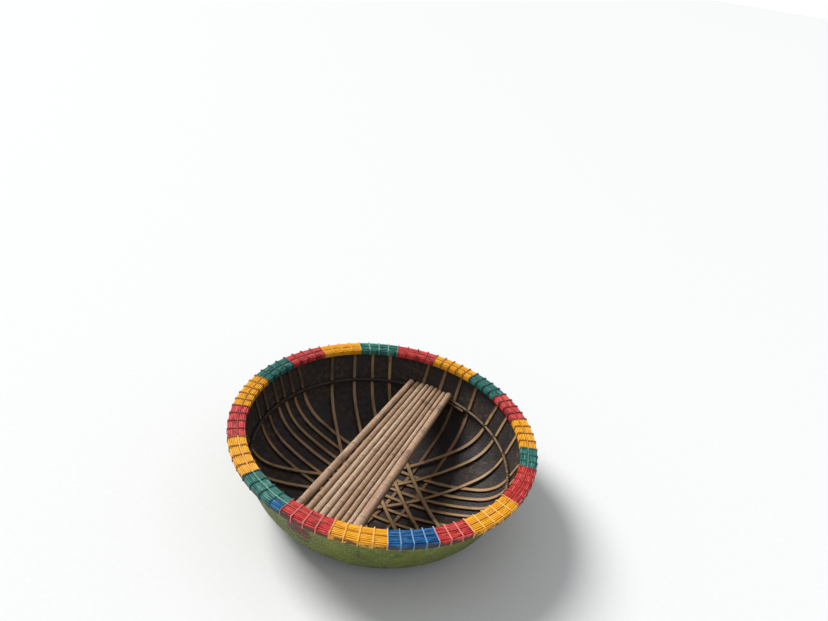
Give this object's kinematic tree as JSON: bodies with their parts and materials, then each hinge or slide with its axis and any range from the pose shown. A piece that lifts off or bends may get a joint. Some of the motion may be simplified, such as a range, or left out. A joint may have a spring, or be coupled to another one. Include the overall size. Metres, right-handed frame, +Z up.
{
  "type": "coracle",
  "caption": "Round basket boat: a woven bamboo bowl with crossing split ribs, an inner hoop, a bench of poles and a lashed lath rim painted in bands.",
  "frame": {"origin": "on the bowl's axis at the waterline of the empty boat, 110 mm above the lowest point of the hull", "axes": "+Z up through the rim, +Y along the bench towards the poles' thin ends, +X to the right of the bench"},
  "size_m": [2.0079, 2.0081, 0.6623],
  "materials": {
    "bench_pole": "dry weathered round bamboo",
    "hoop": "weathered round bamboo",
    "lashing": "tight cord painted over with the rim",
    "mat": "woven split bamboo sealed with dark resin, painted outside",
    "rib": "weathered split bamboo",
    "rim_cap": "cane strip with worn paint",
    "rim_laths": "bamboo laths with worn gloss paint in bands of colour",
    "tie": "weathered cord"
  },
  "bodies": {
    "root": {"bench_pole_1": "bench_pole", "bench_pole_2": "bench_pole", "bench_pole_3": "bench_pole", "bench_pole_4": "bench_pole", "bench_pole_5": "bench_pole", "bench_pole_6": "bench_pole", "bench_pole_7": "bench_pole", "bench_pole_8": "bench_pole", "bench_pole_9": "bench_pole", "hoop_pole": "hoop", "hoop_splice": "hoop", "hoop_ties": "tie", "hull_mat": "mat", "rib_across_1": "rib", "rib_across_2": "rib", "rib_across_3": "rib", "rib_across_4": "rib", "rib_across_5": "rib", "rib_across_6": "rib", "rib_along_1": "rib", "rib_along_2": "rib", "rib_along_3": "rib", "rib_along_4": "rib", "rib_slant_left_1": "rib", "rib_slant_left_2": "rib", "rib_slant_left_3": "rib", "rib_slant_left_4": "rib", "rib_slant_right_1": "rib", "rib_slant_right_2": "rib", "rib_slant_right_3": "rib", "rim_cap": "rim_cap", "rim_lashings": "lashing", "rim_laths_inner": "rim_laths", "rim_laths_outer": "rim_laths"}
  },
  "joints": []
}
